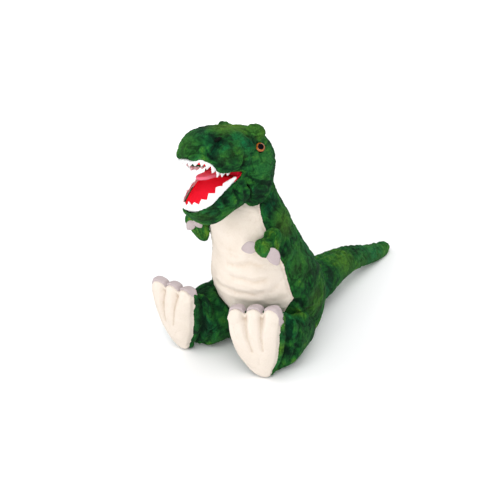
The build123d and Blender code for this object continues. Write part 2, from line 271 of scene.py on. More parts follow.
def swollen(piece, seams, cap, pressure, width, slack, frames):
    # The cloth skin under the pressure of its filling; its seams hold it
    before = pointsOf(piece)
    held = np.zeros(len(before))
    for line in seams:
        held = np.maximum(held, fading(alongLine(before, line)[0], width))
    group = piece.vertex_groups.new(name="sewn")
    for index in np.nonzero(held > 0.05)[0]:
        group.add([int(index)], float(held[index]), "REPLACE")
    only(piece)
    cloth = piece.modifiers.new("cloth", "CLOTH")
    settings = cloth.settings
    settings.quality = 4
    settings.mass = 0.2
    settings.use_pressure = True
    settings.uniform_pressure_force = pressure
    settings.effector_weights.gravity = 0
    settings.shrink_min = -slack
    settings.vertex_group_mass = "sewn"
    for number in range(1, frames + 1):
        scene.frame_set(number)
    bpy.ops.object.modifier_apply(modifier=cloth.name)
    scene.frame_set(1)
    moved = pointsOf(piece) - before
    far = np.linalg.norm(moved, axis=1)
    moved *= np.minimum(1, cap * mm / np.maximum(far, 1e-9))[:, None]
    movePoints(piece, before + moved)
    piece.vertex_groups.clear()


def finer(piece):
    applied(piece, "SUBSURF", levels=1, render_levels=1)


def smoothed(piece, rounds):
    applied(piece, "SMOOTH", factor=0.5, iterations=rounds)


def dyedAndShaded(piece, spots=()):
    # Each spot is a place, a radius and how much lime, teal and painted shade it has; the hollows get
    # painted shade as well, and raised places lose a little of it
    points = pointsOf(piece)
    dyeAndShade = np.zeros((len(points), 4))
    dyeAndShade[:, 3] = 1
    for place, radius, lime, teal, paintedShade in spots:
        away = np.linalg.norm(points - np.array(place), axis=1) / (radius * mm)
        share = np.clip(1.35 - away, 0, 1)
        dyeAndShade[:, 0] += share * lime
        dyeAndShade[:, 1] += share * teal
        dyeAndShade[:, 2] += share * paintedShade
    # Painted shade in the hollows, in the third channel
    dyeAndShade[:, 2] += np.clip(hollowsOf(piece) * 0.9, -0.3, 0.9)
    layer = piece.data.color_attributes.new("dyeAndShade", "FLOAT_COLOR", "POINT")
    layer.data.foreach_set("color", np.clip(dyeAndShade, 0, 1).ravel())


def smoothShaded(piece):
    piece.data.polygons.foreach_set("use_smooth", [True] * len(piece.data.polygons))
    piece.data.update()


def splitOff(piece, name, chosen):
    # The chosen faces of a piece become a piece of their own
    only(piece)
    piece.data.polygons.foreach_set("select", chosen)
    bpy.ops.object.mode_set(mode="EDIT")
    bpy.ops.mesh.select_mode(type="FACE")
    bpy.ops.object.mode_set(mode="OBJECT")
    piece.data.polygons.foreach_set("select", chosen)
    bpy.ops.object.mode_set(mode="EDIT")
    bpy.ops.mesh.separate(type="SELECTED")
    bpy.ops.object.mode_set(mode="OBJECT")
    part = [obj for obj in bpy.context.selected_objects if obj != piece][0]
    part.name = part.data.name = name
    return part


def add(tree, kind, values=None, **settings):
    node = tree.nodes.new(kind)
    for key, value in settings.items():
        setattr(node, key, value)
    for key, value in (values or {}).items():
        node.inputs[key].default_value = value
    return node


def newGroup(name, inputs, outputs):
    group = bpy.data.node_groups.new(name, "ShaderNodeTree")
    for label, kind, value in inputs:
        socket = group.interface.new_socket(name=label, in_out="INPUT", socket_type=kind)
        if value is not None:
            socket.default_value = value
    for label, kind in outputs:
        group.interface.new_socket(name=label, in_out="OUTPUT", socket_type=kind)
    return group, add(group, "NodeGroupInput"), add(group, "NodeGroupOutput")


def ramp(tree, stops, mode="LINEAR"):
    node = tree.nodes.new("ShaderNodeValToRGB")
    node.color_ramp.interpolation = mode
    while len(node.color_ramp.elements) < len(stops):
        node.color_ramp.elements.new(0.5)
    for element, (place, color) in zip(node.color_ramp.elements, stops):
        element.position = place
        element.color = (*color, 1) if len(color) == 3 else color
    return node


def math2(tree, operation, first, second=0.0, clamp=False):
    node = add(tree, "ShaderNodeMath", operation=operation, use_clamp=clamp)
    for index, value in enumerate((first, second)):
        if isinstance(value, (int, float)):
            node.inputs[index].default_value = value
        else:
            tree.links.new(value, node.inputs[index])
    return node.outputs[0]


def times(tree, first, second, clamp=False):
    return math2(tree, "MULTIPLY", first, second, clamp)


def plus(tree, first, second, clamp=False):
    return math2(tree, "ADD", first, second, clamp)


def mixed(tree, share, first, second, blend="MIX"):
    node = add(tree, "ShaderNodeMix", data_type="RGBA", blend_type=blend)
    for socket, value in ((node.inputs[0], share), (node.inputs[6], first), (node.inputs[7], second)):
        if isinstance(value, (int, float)):
            socket.default_value = value
        elif isinstance(value, tuple):
            socket.default_value = (*value, 1)
        else:
            tree.links.new(value, socket)
    return node.outputs[2]


def cloudy(tree, vector, scale, detail=2.0, rough=0.5, distortion=0.0):
    node = add(tree, "ShaderNodeTexNoise",
               {"Scale": scale, "Detail": detail, "Roughness": rough, "Distortion": distortion})
    tree.links.new(vector, node.inputs["Vector"])
    return node.outputs["Fac"]


def stretched(tree, vector, scale, turn=(0, 0, 0)):
    node = add(tree, "ShaderNodeMapping", {"Scale": scale, "Rotation": turn})
    tree.links.new(vector, node.inputs["Vector"])
    return node.outputs[0]


def tieDyeAndShadeGroup():
    # Brushed pile dyed in patches, darkened by painted shade from the third channel of its dye input: its
    # colour, and the height of its nap
    group, source, result = newGroup("tieDyeAndShade", [
        ("Vector", "NodeSocketVector", None),
        ("Streak", "NodeSocketVector", (1, 0.6, 0.45)),
        ("DyeAndShade", "NodeSocketColor", (0, 0, 0, 1)),
        ("Shift", "NodeSocketFloat", 0.0),
    ], [("Color", "NodeSocketColor"), ("Nap", "NodeSocketFloat")])
    link = group.links.new
    vector = source.outputs["Vector"]
    dyeAndShade = add(group, "ShaderNodeSeparateColor")
    link(source.outputs["DyeAndShade"], dyeAndShade.inputs[0])
    flow = add(group, "ShaderNodeMapping")
    link(vector, flow.inputs["Vector"])
    link(source.outputs["Streak"], flow.inputs["Scale"])
    patches = cloudy(group, vector, 34, 2, 0.5, 0.6)
    mottle = cloudy(group, flow.outputs[0], 125, 3, 0.62, 1.2)
    level = plus(group, times(group, patches, 0.5), times(group, mottle, 0.5))
    level = plus(group, level, source.outputs["Shift"])
    # Painted shade: the third channel darkens the green at the shaded spots and in the hollows
    level = math2(group, "SUBTRACT", level, times(group, dyeAndShade.outputs[2], 0.13))
    greens = ramp(group, [
        (0.36, (0.003, 0.016, 0.008)),
        (0.43, (0.005, 0.038, 0.012)),
        (0.50, (0.010, 0.082, 0.017)),
        (0.58, (0.026, 0.125, 0.018)),
        (0.68, (0.080, 0.190, 0.020)),
    ])
    link(level, greens.inputs[0])
    share = times(group, dyeAndShade.outputs[0], plus(group, mottle, 0.2), True)
    color = mixed(group, share, greens.outputs[0], (0.100, 0.205, 0.016))
    # Teal pools of their own, and more of it where the piece is marked
    pools = ramp(group, [(0.56, (0, 0, 0)), (0.68, (1, 1, 1))])
    turned = stretched(group, vector, (1, 1, 0.8), (0.4, 0.2, 0.9))
    link(cloudy(group, turned, 30, 2, 0.55, 0.8), pools.inputs[0])
    marked = times(group, dyeAndShade.outputs[1], plus(group, mottle, 0.3))
    teal = plus(group, times(group, pools.outputs[0], 0.5), marked, True)
    deep = times(group, teal, plus(group, times(group, mottle, 1.6), -0.25), True)
    color = mixed(group, deep, color, (0.002, 0.130, 0.050))
    # Thin dark veins where the dye stopped
    lines = cloudy(group, flow.outputs[0], 62, 3, 0.6, 0.9)
    vein = math2(group, "ABSOLUTE", math2(group, "SUBTRACT", lines, 0.5))
    thin = ramp(group, [(0.0, (0.42, 0.50, 0.48)), (0.045, (1, 1, 1))])
    link(vein, thin.inputs[0])
    color = mixed(group, 1.0, color, thin.outputs[0], "MULTIPLY")
    fibres = cloudy(group, stretched(group, vector, (1, 1, 0.5)), 800, 2, 0.7)
    tips = ramp(group, [(0.3, (0.66, 0.66, 0.66)), (0.7, (1.3, 1.3, 1.2))])
    link(fibres, tips.inputs[0])
    color = mixed(group, 1.0, color, tips.outputs[0], "MULTIPLY")
    link(color, result.inputs["Color"])
    link(plus(group, fibres, times(group, mottle, 1.2)), result.inputs["Nap"])
    return group


def clothGroup():
    # A plain cloth or felt in one colour, a little uneven, with the height of its fibres
    group, source, result = newGroup("plainCloth", [
        ("Vector", "NodeSocketVector", None),
        ("Base", "NodeSocketColor", (0.8, 0.8, 0.8, 1)),
        ("Shadow", "NodeSocketColor", (0.6, 0.6, 0.6, 1)),
        ("Fibre", "NodeSocketFloat", 900.0),
    ], [("Color", "NodeSocketColor"), ("Height", "NodeSocketFloat")])
    link = group.links.new
    vector = source.outputs["Vector"]
    wide = cloudy(group, vector, 60, 3, 0.55, 0.3)
    fine = add(group, "ShaderNodeTexNoise", {"Detail": 3, "Roughness": 0.7})
    link(vector, fine.inputs["Vector"])
    link(source.outputs["Fibre"], fine.inputs["Scale"])
    spread = ramp(group, [(0.35, (0, 0, 0)), (0.65, (1, 1, 1))])
    link(plus(group, times(group, wide, 0.5), times(group, fine.outputs["Fac"], 0.5)), spread.inputs[0])
    color = mixed(group, spread.outputs[0], source.outputs["Shadow"], source.outputs["Base"])
    link(color, result.inputs["Color"])
    link(fine.outputs["Fac"], result.inputs["Height"])
    return group


tieDyeAndShade = tieDyeAndShadeGroup()
plainCloth = clothGroup()


def newMaterial(name, **values):
    material = bpy.data.materials.new(name)
    material.use_nodes = True
    tree = material.node_tree
    shader = tree.nodes["Principled BSDF"]
    for key, value in values.items():
        shader.inputs[key].default_value = value
    return material, tree, shader


def withBump(tree, shader, height, distance, strength):
    bump = add(tree, "ShaderNodeBump", {"Distance": distance * mm, "Strength": strength})
    tree.links.new(height, bump.inputs["Height"])
    tree.links.new(bump.outputs[0], shader.inputs["Normal"])


def objectPlace(tree):
    return add(tree, "ShaderNodeTexCoord").outputs["Object"]


def dyeAndShadeOf(tree):
    return add(tree, "ShaderNodeAttribute", attribute_name="dyeAndShade").outputs["Color"]


def plushMaterial(name, shift=0.0, streak=(1, 0.6, 0.45)):
    material, tree, shader = newMaterial(name, **{
        "Roughness": 0.9, "Specular IOR Level": 0.06, "Sheen Weight": 0.05, "Sheen Roughness": 0.5,
        "Sheen Tint": (0.4, 0.9, 0.4, 1)})
    group = add(tree, "ShaderNodeGroup", {"Shift": shift, "Streak": streak}, node_tree=tieDyeAndShade)
    tree.links.new(objectPlace(tree), group.inputs["Vector"])
    tree.links.new(dyeAndShadeOf(tree), group.inputs["DyeAndShade"])
    tree.links.new(group.outputs["Color"], shader.inputs["Base Color"])
    withBump(tree, shader, group.outputs["Nap"], 0.9, 0.6)
    return material


def clothMaterial(name, base, shadow, fibre=900.0, bump=0.4, strength=0.4, hollowShade=None, **values):
    # The hollow colour is painted shade, multiplied in where the third channel of the piece's attribute
    # marks hollows
    material, tree, shader = newMaterial(name, **{"Roughness": 0.9, "Specular IOR Level": 0.08, **values})
    group = add(tree, "ShaderNodeGroup", {"Base": (*base, 1), "Shadow": (*shadow, 1), "Fibre": fibre},
                node_tree=plainCloth)
    tree.links.new(objectPlace(tree), group.inputs["Vector"])
    color = group.outputs["Color"]
    if hollowShade:
        dyeAndShade = add(tree, "ShaderNodeSeparateColor")
        tree.links.new(dyeAndShadeOf(tree), dyeAndShade.inputs[0])
        color = mixed(tree, dyeAndShade.outputs[2], color, hollowShade, "MULTIPLY")
    tree.links.new(color, shader.inputs["Base Color"])
    withBump(tree, shader, group.outputs["Height"], bump, strength)
    return material


materials = {
    "green": plushMaterial("greenPlush"),
    "head": plushMaterial("headPlush", streak=(0.5, 0.5, 1)),
    "lime": plushMaterial("limePlush", shift=0.09),
    # Cream and sole get painted shade in their hollows; the sole's is a deep brown for the grooves between
    # the toes
    "cream": clothMaterial("creamPlush", (0.75, 0.67, 0.59), (0.69, 0.605, 0.515), 700, 0.5, 0.5,
                           hollowShade=(0.80, 0.72, 0.62)),
    "sole": clothMaterial("soleCloth", (0.715, 0.64, 0.565), (0.66, 0.585, 0.505), 700, 0.5, 0.5,
                          hollowShade=(0.46, 0.33, 0.20)),
    "claw": clothMaterial("clawFelt", (0.50, 0.43, 0.43), (0.42, 0.35, 0.355), 1100),
    "tooth": clothMaterial("toothFelt", (0.86, 0.86, 0.86), (0.74, 0.74, 0.75), 1300, 0.3),
    "lining": clothMaterial("redLining", (0.90, 0.012, 0.036), (0.78, 0.008, 0.024), 1500, 0.2, 0.3),
    # The throat is the lining's red darkened, painted shade deep inside the mouth
    "throat": clothMaterial("throatLining", (0.50, 0.005, 0.020), (0.36, 0.003, 0.012), 1500, 0.2, 0.3),
    "tongue": clothMaterial("pinkFelt", (0.78, 0.20, 0.27), (0.66, 0.13, 0.20), 1100),
    "washer": clothMaterial("washerPlastic", (0.80, 0.80, 0.77), (0.74, 0.74, 0.70), 300, 0.1, 0.1,
                            **{"Roughness": 0.5}),
    "thread": clothMaterial("blackThread", (0.004, 0.006, 0.004), (0.002, 0.003, 0.002), 2500, 0.3),
}


def eyeMaterials():
    amber, tree, shader = newMaterial("amberIris", **{
        "Roughness": 0.3, "Specular IOR Level": 0.2, "Coat Weight": 0.25, "Coat Roughness": 0.05})
    tint = ramp(tree, [(0.3, (0.18, 0.040, 0.005)), (0.7, (0.46, 0.140, 0.018))])
    tree.links.new(cloudy(tree, objectPlace(tree), 900, 2), tint.inputs[0])
    tree.links.new(tint.outputs[0], shader.inputs["Base Color"])
    black, tree, shader = newMaterial("blackPupil", **{
        "Base Color": (0.003, 0.003, 0.004, 1), "Specular IOR Level": 0.0, "Coat Weight": 0.05,
        "Coat Roughness": 0.04})
    wear = ramp(tree, [(0.3, (0.06, 0.06, 0.06)), (0.8, (0.16, 0.16, 0.16))])
    tree.links.new(cloudy(tree, objectPlace(tree), 500, 3), wear.inputs[0])
    tree.links.new(wear.outputs[0], shader.inputs["Roughness"])
    return amber, black


amberIris, blackPupil = eyeMaterials()
print("materials made")


def dressed(piece, material, body, nodes):
    # The last steps for every piece; one without a body is left unattached, and its maker bakes its place
    # into its points
    piece.data.materials.clear()
    piece.data.materials.append(material)
    smoothShaded(piece)
    if body:
        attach(piece, body)
    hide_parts(*nodes)


# Body, neck and the cream panel over the belly; every seam has a width, a depth, a pitch and a pucker,
# and every crease a width, a depth and a shoulder
body = {
    "voxel": 4.0,
    # how far the cloth moves at most, its pressure, and how far its seams hold it
    "filling": {"cap": 0.8, "pressure": 4.0, "width": 3.0, "slack": 0.04, "frames": 20},
    # the belly's half width at each height, and the middle of the body, ahead of which it lies
    "bellySide": [(204, 23), (163, 37), (121, 47), (82, 54), (46, 36), (34, 14)],
    "middle": [(208, -64), (182, -59), (160, -54), (134, -44), (105, -32), (74, -20), (38, -5)],
    "snap": 0.75,   # points this near the edge of the belly are moved onto it
    "seamSteps": 4, "bellySeam": (1.8, 1.5, 13, 0.35),
    "spineHeights": (24, 204, 12), "spineSeam": (2.6, 1.8, 14, 1.1),
    "middleHeights": (200, 36, -12), "middleCrease": (1.4, 0.45, 0.2),
    "creases": [[(-10, 122), (8, 123), (21, 128), (33, 124)], [(-6, 106), (10, 107), (24, 106), (38, 109)],
                [(-30, 90), (-10, 88), (12, 89), (34, 92)]],
    "crease": (3.4, 1.2, 0.5),
    "hipCreases": [(53, -53, 79), (58, -44, 77), (62, -40, 63), (59, -22, 58)], "hipCrease": (3.0, 2.6, 0.8),
    "cloth": {"crumples": {"size": 13, "depth": 1.8, "stretch": (1, 1, 1.5), "seed": 1.7},
              "lumps": [(7, 1.2), (3.0, 1.0), (1.6, 0.6)]},
    "bellyCloth": {"crumples": {"size": 10, "depth": 0.6, "stretch": (3.0, 1.5, 0.8), "seed": 3.1,
                                "sharp": 2.0},
                   "lumps": [(2.6, 0.5)]},
    "neckAxis": (0, -0.35, 1), "neckBend": (-34, -4),   # the neck's axis, and two places on it
    # each spot: place, radius, lime, teal and painted shade; the shaded ones lie under the head and the arms
    # and in the hip crease
    "spots": [
        ((42, -52, 170), 16, 0.4, 0, 0), ((53, -39, 120), 22, 0.2, 0.2, 0), ((61, -13, 64), 20, 0.3, 0, 0),
        ((34, -68, 190), 20, 0, 0, 0.8), ((46, -58, 150), 22, 0, 0, 0.7), ((58, -44, 82), 18, 0, 0, 0.7),
        ((50, -5, 130), 20, 0, 0.5, 0), ((-50, -5, 120), 24, 0.4, 0, 0), ((0, 40, 110), 26, 0.3, 0.3, 0),
        ((-40, -50, 170), 20, 0, 0.3, 0.4),
    ],
}


def atHeight(table, height):
    heights, values = zip(*sorted(body[table]))
    return np.interp(height, np.array(heights) * mm, np.array(values) * mm)


def frontOf(piece, across, height):
    # The point of the front surface at this place
    hit = piece.ray_cast(Vector((across, -1.0, height)), Vector((0, 1, 0)))
    return hit[1] if hit[0] else Vector((across, -0.1, height))


def bellySeam(piece, side):
    # Down one side of the belly panel, over the front of the body
    line = []
    corners = body["bellySide"]
    for (top, wide), (low, narrow) in zip(corners, corners[1:]):
        for step in range(body["seamSteps"]):
            share = step / body["seamSteps"]
            across, height = wide + (narrow - wide) * share, top + (low - top) * share
            line.append(frontOf(piece, side * across * mm, height * mm))
    height, across = corners[-1]
    return [*line, frontOf(piece, side * across * mm, height * mm)]


def onLine(piece, starts, way):
    # Where rays from these starts meet the piece
    hits = [piece.ray_cast(Vector(start), Vector(way)) for start in starts]
    return [hit[1] for hit in hits if hit[0]]


def makeBody():
    nodes = ["body_back_left", "body_back_right", "body_stuffing", "pellet_bag", "neck_skin",
             "neck_stuffing"]
    piece = copyOf("bodyPlush", [*nodes[:2], "belly_panel", *nodes[2:]])
    remeshed(piece, body["voxel"])
    smoothed(piece, 3)
    bpy.context.view_layer.update()
    sideSeams = [bellySeam(piece, side) for side in sides.values()]
    lowerSeam = [seam[-1] for seam in sideSeams]
    spine = onLine(piece, [(0, 1.0, height * mm) for height in range(*body["spineHeights"])], (0, -1, 0))
    middle = [frontOf(piece, 0, height * mm) for height in range(*body["middleHeights"])]
    swollen(piece, [*sideSeams, spine], **body["filling"])
    finer(piece)
    for line in [*sideSeams, lowerSeam]:
        sewn(piece, line, *body["bellySeam"])
    sewn(piece, spine, *body["spineSeam"])
    creased(piece, middle, *body["middleCrease"])
    for side in sides.values():
        line = [Vector((side * across, deep, height)) * mm for across, deep, height in body["hipCreases"]]
        creased(piece, line, *body["hipCrease"])
    for row in body["creases"]:
        creased(piece, [frontOf(piece, across * mm, height * mm) for across, height in row], *body["crease"])
    finer(piece)
    low, high = body["bellySide"][-1][0] * mm, body["bellySide"][0][0] * mm
    points = pointsOf(piece)
    half = atHeight("bellySide", points[:, 2])
    onEdge = np.abs(np.abs(points[:, 0]) - half) < body["snap"] * mm
    onEdge &= points[:, 1] < atHeight("middle", points[:, 2])
    onEdge &= (points[:, 2] > low) & (points[:, 2] < high)
    points[onEdge, 0] = np.sign(points[onEdge, 0]) * half[onEdge]
    movePoints(piece, points)
    centers = faceCenters(piece)
    inside = (np.abs(centers[:, 0]) < atHeight("bellySide", centers[:, 2])) & (centers[:, 2] > low)
    inside &= (centers[:, 2] < high) & (centers[:, 1] < atHeight("middle", centers[:, 2]))
    belly = splitOff(piece, "bellyPanel", inside)
    clothed(belly, body["bellyCloth"])
    dyedAndShaded(belly)
    clothed(piece, body["cloth"])
    dyedAndShaded(piece, [(Vector(place) * mm, *rest) for place, *rest in body["spots"]])
    dressed(piece, materials["green"], None, nodes)
    dressed(belly, materials["cream"], None, ["belly_panel"])
    for part in (piece, belly):
        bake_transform(part)
    print("body made", len(piece.data.polygons), len(belly.data.polygons))


# Head and jaw are one skin, with the mouth open in it; places are for the left side
head = {
    "voxel": 2.2,
    "seams": [   # width, depth, pitch, pucker and the line: the gusset over the brow, then the muzzle
        (2.2, 2.2, 9, 0.5, [(25, 44, 20), (26, 30, 34), (27, 12, 40), (27, -4, 36), (28, -13, 31),
                            (28, -21, 26), (25, -32, 24)]),
        (3.0, 3.8, 9, 0.3, [(23, -35, 23), (25, -37, 19), (24, -39, 10), (22, -40, 6)]),
    ],
    "creases": [   # which jaw, width, depth, shoulder and the line; the one of negative depth is a ridge
        ("upper", 2.6, 3.4, 0.9, [(32, -11, 24), (32, -7, 15), (31, -4, 6)]),
        ("upper", 2.6, 3.4, 0.9, [(29, -23, 20), (30, -20, 13), (28, -16, 4)]),
        ("upper", 3.0, -4.2, -0.8, [(26, -20, 31), (29, -13, 30), (32, -7, 26), (33, -2, 20)]),
        ("upper", 2.8, 2.6, 0.6, [(30, 7, -2), (32, 17, -4), (32, 28, -3), (27, 42, -3)]),
        ("lower", 2.8, 3.4, 1.0, [(26, -31, -5), (23, -33, -15)]),
        ("lower", 2.8, 3.4, 1.0, [(29, -18, -7), (23, -20, -20)]),
        ("lower", 2.8, 3.4, 1.0, [(27, -2, -13), (23, -5, -28)]),
    ],
    "cheek": ((29, -17, 12), 13, 3.8),   # middle, radius and height
    "hollows": [((23, -35, 24), 4.5, -2.6), ((33, 13, 31), 7, -1.6)],   # under the nostril and round the eye
    # how far each form swells, and over which stretch it comes up to its full size
    "forward": 2.2, "forwardOver": (0, 50), "up": 3.6, "upOver": (-22, 22), "upFrom": (2, 32),
    "down": 4.0, "downOver": (8, 50), "chinForward": 3.5, "chinForwardOver": (0, 50),
    "chinDown": 4.0, "chinDownOver": (6, 20), "chinDownFrom": (-20, 10),
    "hingeOver": (-4, 4), "hingeBack": 30,
    # cloth that is drawn aside: middle, radius and way
    "sag": ((30, -25, 0), 12, (0, 0, -6.0)), "throat": ((16, 4, -30), 17, (0, 0, -7.5)),
    "farBrow": ((-24, 8, 48), 11, (0, -3.5, -2.2)),
    "cloth": {"crumples": {"size": 11, "depth": 1.4, "seed": 5.2},
              "lumps": [(6, 0.8), (3.0, 0.8), (1.6, 0.5)]},
    "bendDown": 62, "bend": (14, 30),   # a slope towards the jaw, and two places on it
    # each spot: place, radius, lime, teal and painted shade; the shaded ones follow the muzzle seam and the
    # creases, the far side of the snout and the jaw under the lip
    "spots": [
        ((25, -37, 17), 6, 0, 0, 0.5), ((24, -39, 8), 6, 0, 0, 0.5), ((27, -27, 26), 5, 0, 0, 0.3),
        ((12, -28, 40), 14, 0.6, 0, 0), ((24, -10, 42), 10, 0.4, 0, 0), ((28, -26, 10), 9, 0.12, 0, 0),
        ((2, -2, 45), 18, 0.7, 0, 0), ((-3, -10, 42), 16, 0.6, 0, 0), ((30, 8, 48), 11, 0.6, 0, 0.1),
        ((-24, 8, 46), 12, 0.6, 0, 0), ((27, -13, 20), 12, 0.3, 0, 0), ((0, -50, 10), 16, 0.2, 0, 0.1),
        ((10, -42, 24), 14, 0, 0.4, 0.4), ((-8, -40, 28), 14, 0, 0.1, 0.6), ((23, -41, 8), 12, 0, 0.1, 0.4),
        ((28, -15, 30), 9, 0, 1.0, 0), ((32, -7, 26), 9, 0, 1.0, 0), ((32, 20, 14), 18, 0.1, 0.5, 0),
        ((33, -5, 15), 8, 0, 0, 0.9), ((30, 12, 4), 14, 0, 0, 0.4), ((26, -12, -29), 13, 0, 0.1, 0.3),
        ((23, 7, -27), 12, 0, 0, 0.8), ((24, 21, -19), 14, 0, 0, 0.7), ((13, -23, -49), 13, 0.2, 0.1, 0),
    ],
}
jaws = {"upper": upperPlace, "lower": lowerPlace}


def eased(value, start, end):
    share = np.clip((value - start) / (end - start), 0, 1)
    return share * share * (3 - 2 * share)


def inPlaceOf(place, points):
    turned = np.array(place.inverted())
    return (points @ turned[:3, :3].T + turned[:3, 3]) / mm


def outOfPlace(place, local):
    turned = np.array(place)
    return local * mm @ turned[:3, :3].T + turned[:3, 3]


def fuller(piece):
    # The muzzle and the chin swell a little past their patterns, away from the hinge of the mouth
    points = pointsOf(piece)
    level = inPlaceOf(headPlace, points)
    upper = eased(np.degrees(np.arctan2(level[:, 2], -level[:, 1])), *head["hingeOver"])
    upper *= level[:, 1] < head["hingeBack"]
    upper = np.where(level[:, 1] > 0, level[:, 2] > 0, upper)
    local = inPlaceOf(upperPlace, points)
    ahead = -local[:, 1]
    rise = eased(local[:, 2], *head["upFrom"])
    move = np.zeros_like(points)
    move[:, 1] = -head["forward"] * eased(ahead, *head["forwardOver"])
    move[:, 2] = rise * head["up"] * eased(ahead, *head["upOver"])
    move[:, 2] -= (1 - rise) * head["down"] * eased(ahead, *head["downOver"])
    raised = outOfPlace(upperPlace, local + move)
    local = inPlaceOf(lowerPlace, points)
    ahead = -local[:, 1]
    move = np.zeros_like(points)
    move[:, 1] = -head["chinForward"] * eased(ahead, *head["chinForwardOver"])
    move[:, 2] = -head["chinDown"] * eased(-local[:, 2], *head["chinDownOver"])
    move[:, 2] *= eased(ahead, *head["chinDownFrom"])
    lowered = outOfPlace(lowerPlace, local + move)
    movePoints(piece, raised * upper[:, None] + lowered * (1 - upper)[:, None])


def placed(jaw, side, points):
    # Points of a jaw, given for its left side, as points of the frame on either side
    return inPlace(jaws[jaw], [(side * across, back, height) for across, back, height in points])


def pulled(piece, place, middle, radius, vector):
    # Drags the cloth round a point along a direction of this place
    points = pointsOf(piece)
    away = np.linalg.norm(inPlaceOf(place, points) - np.array(middle), axis=1) / radius
    way = np.array(place.to_3x3() @ Vector(vector)) * mm
    movePoints(piece, points + np.exp(-away**2)[:, None] * way)


def makeHead():
    nodes = ["head_top", "head_side_left", "head_side_right", "brow_left", "brow_right", "head_stuffing",
             "jaw_skin", "jaw_stuffing"]
    piece = copyOf("headPlush", nodes)
    remeshed(piece, head["voxel"])
    smoothed(piece, 2)
    fuller(piece)
    for side in sides.values():
        for form, jaw in (("sag", "upper"), ("throat", "lower")):
            (across, *rest), radius, way = head[form]
            pulled(piece, jaws[jaw], (side * across, *rest), radius, way)
    pulled(piece, upperPlace, *head["farBrow"])
    finer(piece)
    for side in sides.values():
        middle, radius, height = head["cheek"]
        bulged(piece, placed("upper", side, [middle])[0], radius, height)
        for *form, line in head["seams"]:
            sewn(piece, placed("upper", side, line), *form)
        for jaw, *form, line in head["creases"]:
            creased(piece, placed(jaw, side, line), *form)
        for middle, radius, height in head["hollows"]:
            bulged(piece, placed("upper", side, [middle])[0], radius, height)
    clothed(piece, head["cloth"])
    dyedAndShaded(piece, [(upperPlace @ (Vector(place) * mm), *rest) for place, *rest in head["spots"]])
    dressed(piece, materials["head"], None, nodes)
    alongJaw(piece)
    print("head made", len(piece.data.polygons))


def alongJaw(piece):
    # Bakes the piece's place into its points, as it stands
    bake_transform(piece)


# Mouth; the felt strips stand on the edge of the lip, and the linings end inside them
mouth = {
    "linings": [   # node, material, jaw, and how much of its width and depth it keeps
        ("palate_lining", "lining", "upper", (0.95, 0.95)),
        # the throat lining wears the darker red, painted shade deep in the mouth
        ("throat_lining", "throat", "upper", (0.94, 1)),
        ("mouth_floor_lining", "lining", "lower", (1.0, 0.965)),
    ],
    "floorUp": 1.6, "floorUpOver": (1, 4), "nostrilMove": (2.4, -4.0), "tongueVoxel": 0.8,
    # the lip: its half width is taken at these angles round the corner, and made a little larger
    "lipAngles": (0.04, 1.54, 21), "angleReach": 0.08, "lipEnd": 1.56, "outward": 1.05, "step": 0.3,
    # upper teeth: how long the points are in front and at the flank, and where the change comes
    "teeth": {"left": (3.4, 5.6), "right": (3.0, 2.4)}, "flankOver": (12, 30), "pitch": 6.4,
    "thickness": 1.5, "intoLip": 4.0, "root": 1.2, "rootEdge": 0.1,
    # the search for the lip of the stuffed head: start, lowest and highest, steps apart, smoothing
    "searchFrom": -9, "searchLimits": (-7, 10), "searchApart": 4, "evened": 12,
    "lowerIntoLip": 3.2, "farLower": 0.7, "lowerVoxel": 0.5,
}


def resized(piece, place, across, deep):
    local = inPlaceOf(place, pointsOf(piece))
    local[:, :2] *= (across, deep)
    movePoints(piece, outOfPlace(place, local))


def lipLine(node, place):
    # Where the strip runs around the lip, at even steps from the front to the corner
    local = inPlaceOf(place, pointsOf(node))
    local = local[np.abs(local[:, 2]) < 0.5]
    corner = local[:, 1].max()
    angle = np.arctan2(np.abs(local[:, 0]), corner - local[:, 1])
    reach = np.hypot(local[:, 0], corner - local[:, 1])
    knots = np.linspace(*mouth["lipAngles"])
    outer = [reach[np.abs(angle - knot) < mouth["angleReach"]].max(initial=0) for knot in knots]
    knots, outer = zip(*[(knot, out) for knot, out in zip(knots, outer) if out > 0])
    angle = np.linspace(0.0, mouth["lipEnd"], 400)
    reach = np.interp(angle, knots, outer)
    line = np.stack([np.sin(angle) * reach, corner - np.cos(angle) * reach], 1) * mouth["outward"]
    along = np.concatenate([[0], np.cumsum(np.linalg.norm(np.diff(line, axis=0), axis=1))])
    even = np.arange(0, along[-1], mouth["step"])
    return even, np.stack([np.interp(even, along, line[:, 0]), np.interp(even, along, line[:, 1])], 1)


def lipHeights(local):
    # How high the lip of the stuffed head stands above each step of the strip
    skin = bpy.data.objects["headPlush"]
    up = upperPlace.to_3x3() @ Vector((0, 0, 1))
    lowest, highest = mouth["searchLimits"]
    lip = np.full(local.shape[1], np.nan)
    for step in range(0, len(lip), mouth["searchApart"]):
        outer, inner = local[0, step, :2], local[5, step, :2]
        start = outer + (outer - inner) * 0.6
        hit = skin.ray_cast(upperPlace @ (Vector((*start, mouth["searchFrom"])) * mm), up)
        if hit[0]:
            height = inPlaceOf(upperPlace, np.array(hit[1])[None])[0, 2]
            if lowest < height < highest:
                lip[step] = height
    known = ~np.isnan(lip)
    lip = np.interp(np.arange(len(lip)), np.flatnonzero(known), lip[known])
    around = mouth["evened"] * 2 + 1
    return np.convolve(np.pad(lip, mouth["evened"], "edge"), np.ones(around) / around, "valid")


